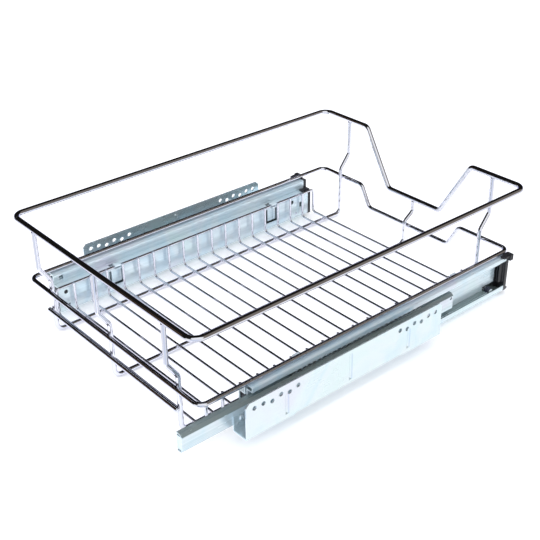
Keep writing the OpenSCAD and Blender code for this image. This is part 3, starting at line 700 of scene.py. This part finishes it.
def makeCapArm(place, start):
    # arm in the lower box, with a pocket in its inner and outer faces
    sheet, fit = slideSet["sheet"], slideSet["fit"]
    arm = place.slab((sheet + fit, slideSet["stepIn"] + sheet - fit),
                     (start, place.length + capSet["seat"]),
                     (capSet["low"], slideSet["ledge"] - sheet - fit))
    editPiece(arm)
    chooseFaces(arm, lambda spot, normal: abs(normal.x) > meshSet["facing"])
    bpy.ops.mesh.inset(thickness=capSet["pocketRim"], use_individual=True)
    bpy.ops.mesh.inset(thickness=capSet["pocketSlope"], depth=-capSet["pocket"], use_individual=True)
    leaveEdit()
    roundEdges(arm, capSet["edge"])
    return arm


def makeCapLug(place, outer):
    # lug at the upper outer corner, hollowed from outside
    lug = place.slab((outer - capSet["lugWidth"], outer),
                     (place.length - slideSet["fit"], place.length + capSet["plate"]),
                     (place.height - capSet["lugDrop"], place.height + capSet["lugRise"]))
    editPiece(lug)
    outside = place.point(outer, 0, 0).x
    chooseFaces(lug, lambda spot, normal: abs(spot.x - outside) < meshSet["samePlane"])
    bpy.ops.mesh.inset(thickness=2 * capSet["lugEdge"])
    inwards = (-place.sign * capSet["lugEdge"], 0, 0)
    bpy.ops.mesh.extrude_region_move(TRANSFORM_OT_translate={"value": inwards})
    leaveEdit()
    roundEdges(lug, capSet["lugEdge"], 3)
    return lug


def makeCapTongue(place, us, ss, zs, way):
    # tongue or foot whose free end tapers
    tongue = place.slab(us, ss, zs)
    editPiece(tongue)
    chooseFaces(tongue, lambda spot, normal: normal.y * way > meshSet["facing"])
    bpy.ops.transform.resize(value=capSet["taper"])
    leaveEdit()
    roundEdges(tongue, capSet["edge"] * 0.8)
    return tongue


def makeFrontCap(side):
    place = slides[side]
    us, ss = place.span(f"{side}_front_cap")[:2]
    front = place.length + capSet["plate"]
    step, ledge, fit = slideSet["stepIn"], slideSet["ledge"], slideSet["fit"]
    tongueS = (place.length - capSet["tongue"], place.length + capSet["tongueSeat"])
    rise, sole, short, hook = (capSet[name] for name in ("lugRise", "sole", "shortBy", "hookOver"))
    parts = [
        makeCapPlate(place),
        makeCapPlug(place),
        makeCapArm(place, ss[0]),
        makeCapLug(place, us[1]),
        makeCapTongue(place, (us[1] - capSet["lugWidth"], us[1] - capSet["tongueSeat"]), tongueS,
                      (place.height + fit, place.height + rise - short), 1),
        makeCapTongue(place, (fit, step - fit), tongueS, (ledge + fit, ledge + sole), 1),
        makeCapTongue(place, (fit, step + hook), (place.length, front - short),
                      (ledge - hook, ledge + sole), -1),
        makeCapTongue(place, (step, slideSet["lipOut"]), (front - capSet["seat"], front + capSet["foot"]),
                      (0, sole), -1),
    ]
    cap = joinPieces(parts, f"{side}FrontCap")
    finishPiece(cap, "blackNylon", "basket")
    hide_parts(f"{side}_front_cap")


# plug in the rear of the lower box, cored out from below, above and behind
bufferSet = {"wall": 0.0018, "core": 0.004, "coreSlope": 0.0002, "edge": 0.0004, "cells": 3,
             "dimple": 0.0008}


def makeRearBuffer(side):
    place = slides[side]
    us, ss, zs = place.span(f"{side}_rear_buffer")
    block = place.slab(us, ss, zs)
    editPiece(block)
    for cell in range(1, bufferSet["cells"]):
        bpy.ops.mesh.select_all(action='SELECT')
        cut = place.point(0, ss[0] + (ss[1] - ss[0]) * cell / bufferSet["cells"], 0)
        bpy.ops.mesh.bisect(plane_co=cut, plane_no=(0, 1, 0))
    chooseFaces(block, lambda spot, normal: abs(normal.z) > meshSet["facing"])
    bpy.ops.mesh.inset(thickness=bufferSet["wall"], use_individual=True)
    bpy.ops.mesh.inset(thickness=bufferSet["coreSlope"], depth=-bufferSet["core"], use_individual=True)
    chooseFaces(block, lambda spot, normal: normal.y > meshSet["facing"]
                and abs(spot.y - place.rear + ss[0]) < meshSet["samePlane"])
    bpy.ops.mesh.inset(thickness=bufferSet["wall"], depth=-bufferSet["dimple"])
    leaveEdit()
    roundEdges(block, bufferSet["edge"])
    buffer = joinPieces([block], f"{side}RearBuffer")
    finishPiece(buffer, "blackNylon", "basket")
    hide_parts(f"{side}_rear_buffer")


# grooved stop roller on its pin
rollerSet = {"bore": 0.00201, "lip": 0.0006, "groove": 0.0007, "grooveHalf": 0.0009, "steps": 32,
             "hub": 0.0034, "hubSlope": 0.0004, "dish": 0.0005}


def makeStopRoller(side):
    place = slides[side]
    us, ss, zs = place.span(f"{side}_stop_roller")
    radius = (zs[1] - zs[0]) / 2
    half = (us[1] - us[0]) / 2
    bore, lip, hub, dish = (rollerSet[name] for name in ("bore", "lip", "hub", "dish"))
    cut, wide = rollerSet["groove"], rollerSet["grooveHalf"]
    outerHalf = [(radius - cut, wide * 0.5), (radius, wide), (radius, half - lip),
                 (radius - lip, half), (hub + rollerSet["hubSlope"], half), (hub, half - dish),
                 (bore, half - dish)]
    profile = outerHalf + [(r, -a) for r, a in reversed(outerHalf)]
    centre = place.point(sum(us) / 2, sum(ss) / 2, sum(zs) / 2)
    roller = turnedPiece(f"{side}StopRoller", profile, centre, rollerSet["steps"])
    finishPiece(roller, "darkRubber", "basket")
    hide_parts(f"{side}_stop_roller")


# domed rivets that hold each bracket to its cabinet rail
rivetSet = {"headR": 0.0035, "tailR": 0.00275, "tail": 0.001, "shank": 0.002, "head": 0.0016,
            "rim": 0.0005, "shoulder": 0.0011, "crown": 0.0001, "dimple": 0.0004, "steps": 24}


def makeBracketRivets(side):
    place = slides[side]
    us, ss, zs = place.span(f"{side}_bracket_rivets")
    length = us[1] - us[0]
    face = length - rivetSet["head"]
    headR, tailR, tail, shank = (rivetSet[name] for name in ("headR", "tailR", "tail", "shank"))
    rim, shoulder, crown, dimple = (rivetSet[name] for name in ("rim", "shoulder", "crown", "dimple"))
    profile = [(0.0, 0.0), (tailR * 0.75, 0.0), (tailR, tail * 0.35), (tailR, tail), (shank, tail),
               (shank, face), (headR, face), (headR, face + rim), (headR * 0.86, face + shoulder),
               (headR * 0.6, length - crown), (headR * 0.34, length), (headR * 0.2, length - dimple),
               (0.0, length - dimple)]
    outwards = [(r, place.sign * a) for r, a in profile]
    pieces = []
    for s in (ss[0] + headR, (ss[0] + ss[1]) / 2, ss[1] - headR):
        spot = place.point(us[0], s, (zs[0] + zs[1]) / 2)
        pieces.append(turnedPiece("rivet", outwards, spot, rivetSet["steps"]))
    rivets = joinPieces(pieces, f"{side}BracketRivets")
    finishPiece(rivets, "rivetZinc", f"{side}_cabinet")
    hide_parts(f"{side}_bracket_rivets")


# swaged head over the end of each stop pin
swageSet = {"radius": 0.0028, "rise": 0.00045, "dimple": 0.0012, "root": 0.0003, "steps": 24}


def makePinSwage(side):
    place = slides[side]
    us, ss, zs = place.span(f"{side}_stop_pin")
    radius, rise, dimple, root = (swageSet[name] for name in ("radius", "rise", "dimple", "root"))
    profile = [(0.0, -root), (radius, -root), (radius, 0.0), (radius * 0.8, rise * 0.8),
               (radius * 0.5, rise), (dimple, rise * 0.9), (dimple * 0.5, 0.0), (0.0, 0.0)]
    outwards = [(r, place.sign * (a - rise)) for r, a in profile]
    centre = place.point(us[1], sum(ss) / 2, sum(zs) / 2)
    swage = turnedPiece(f"{side}PinSwage", outwards, centre, swageSet["steps"])
    finishPiece(swage, "rivetZinc", "basket")


# raised rims that the punch leaves round the screw holes, inside each bracket's outer wall
burrSet = {"width": 0.0007, "rise": 0.0003, "wall": 0.0015, "root": 0.0002, "steps": 20}


def makeHoleRims(side):
    place = slides[side]
    width, rise, root = burrSet["width"], burrSet["rise"], burrSet["root"]
    pieces = []
    for mount in frame["record"]["mounts"]:
        if mount["kind"] != "bolt_pattern" or not mount["name"].startswith(side):
            continue
        holeR = mount["dims"]["hole_r_mm"] / 1000
        reach = mount["dims"]["spacing_x_mm"] / 2000
        profile = [(holeR, root), (holeR + width, root), (holeR + width * 0.7, -rise),
                   (holeR + width * 0.2, -rise)]
        inwards = [(r, place.sign * a) for r, a in profile]
        x, y, z = mount["pos_m"]
        for way in (-1, 1):
            spot = Vector((x - place.sign * burrSet["wall"], y + way * reach, z))
            pieces.append(turnedPiece("holeRim", inwards, spot, burrSet["steps"]))
    rims = joinPieces(pieces, f"{side}HoleRims")
    finishPiece(rims, "bracketZinc", f"{side}_cabinet")


for sideName in slides:
    makeFrontCap(sideName)
    makeRearBuffer(sideName)
    makeStopRoller(sideName)
    makeBracketRivets(sideName)
    makePinSwage(sideName)
    makeHoleRims(sideName)
print("slide mouldings, rivets and rims made")


# weld nuggets where the basket's wires cross, and rounded ends on its cut wires
weldSet = {"floorSize": (0.0021, 0.0021, 0.0008), "loopSize": (0.0008, 0.0017, 0.0015),
           "railSize": (0.0023, 0.0012, 0.0023), "topSize": (0.0034, 0.0034, 0.0013), "waist": 0.82,
           "waistBand": 0.35, "crossWires": 19, "runnerTop": 0.005, "fineR": 0.0015, "wireR": 0.0025,
           "rimR": 0.003, "tipRise": 0.0006, "tipRoot": 0.0004, "tipSteps": 16}


def nuggetStart():
    deselectAll()
    bpy.ops.mesh.primitive_ico_sphere_add(subdivisions=2, radius=1.0, location=(0, 0, 0))
    nugget = bpy.context.active_object
    editPiece(nugget)
    chooseFaces(nugget, lambda spot, normal: abs(spot.z) < weldSet["waistBand"])
    bpy.ops.transform.resize(value=(weldSet["waist"], weldSet["waist"], 1.0))
    leaveEdit()
    bpy.ops.object.shade_smooth()
    return nugget


def scatterCopies(start, spots, name, finish, body):
    # spots holds (place, size) pairs
    copies = []
    for spot, size in spots:
        copy = bpy.data.objects.new(name, start.data.copy())
        scene.collection.objects.link(copy)
        copy.location = spot
        copy.scale = size
        settlePlace(copy)
        copies.append(copy)
    joined = joinPieces(copies, name)
    finishPiece(joined, finish, body)


def floorWeldSpots(runnerX):
    loopLow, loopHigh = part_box("floor_loop")
    wireLow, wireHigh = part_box("floor_wires")
    fineR, count = weldSet["fineR"], weldSet["crossWires"]
    first = loopHigh.y - fineR
    pitch = (first - loopLow.y - fineR) / (count - 1)
    rows = [first - pitch * number for number in range(count)]
    spots = [(Vector((x, y, weldSet["runnerTop"])), weldSet["floorSize"]) for x in runnerX for y in rows]
    spots += [(Vector((x, y, loopHigh.z - fineR)), weldSet["loopSize"])
              for x in (wireLow.x, wireHigh.x) for y in rows[1:-1]]
    return spots


def rimWeldSpots(runnerX):
    middleLow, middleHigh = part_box("middle_rim")
    crossLow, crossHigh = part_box("rear_cross_wire")
    topLow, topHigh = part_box("top_rim")
    wireR, rimR = weldSet["wireR"], weldSet["rimR"]
    spots = []
    for x in runnerX:
        dipped = abs(x) < wireR       # only the middle runner stands in the dips
        rear, front = middleHigh.y - 2 * wireR, middleLow.y + 2 * wireR
        for z in (middleHigh.z - wireR, (crossLow.z + crossHigh.z) / 2):
            spots.append((Vector((x, rear, z)), weldSet["railSize"]))
        z = middleLow.z + wireR if dipped else middleHigh.z - wireR
        spots.append((Vector((x, front, z)), weldSet["railSize"]))
        under = topHigh.z - 2 * rimR
        spots.append((Vector((x, topHigh.y - rimR, under)), weldSet["topSize"]))
        under = topLow.z if dipped else under
        spots.append((Vector((x, topLow.y + rimR, under)), weldSet["topSize"]))
    return spots


def makeWelds():
    nugget = nuggetStart()
    runnerX = []
    for name in ("left_runner", "middle_runner", "right_runner"):
        low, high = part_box(name)
        runnerX.append((low.x + high.x) / 2)
    scatterCopies(nugget, floorWeldSpots(runnerX), "floorWelds", "chrome", "basket")
    scatterCopies(nugget, rimWeldSpots(runnerX), "rimWelds", "chrome", "basket")
    bpy.data.objects.remove(nugget)


def makeCrossTips():
    low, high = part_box("rear_cross_wire")
    radius = (high.z - low.z) / 2
    rise, root = weldSet["tipRise"], weldSet["tipRoot"]
    profile = [(0.0, -root), (radius, -root), (radius, 0.0), (radius * 0.9, rise * 0.5),
               (radius * 0.6, rise * 0.9), (0.0, rise)]
    tips = []
    for way, x in ((-1, low.x), (1, high.x)):
        spot = Vector((x, (low.y + high.y) / 2, (low.z + high.z) / 2))
        outwards = [(r, way * a) for r, a in profile]
        tips.append(turnedPiece("crossTip", outwards, spot, weldSet["tipSteps"]))
    joined = joinPieces(tips, "crossWireTips")
    finishPiece(joined, "chrome", "basket")


makeWelds()
makeCrossTips()
print("welds and wire ends made")
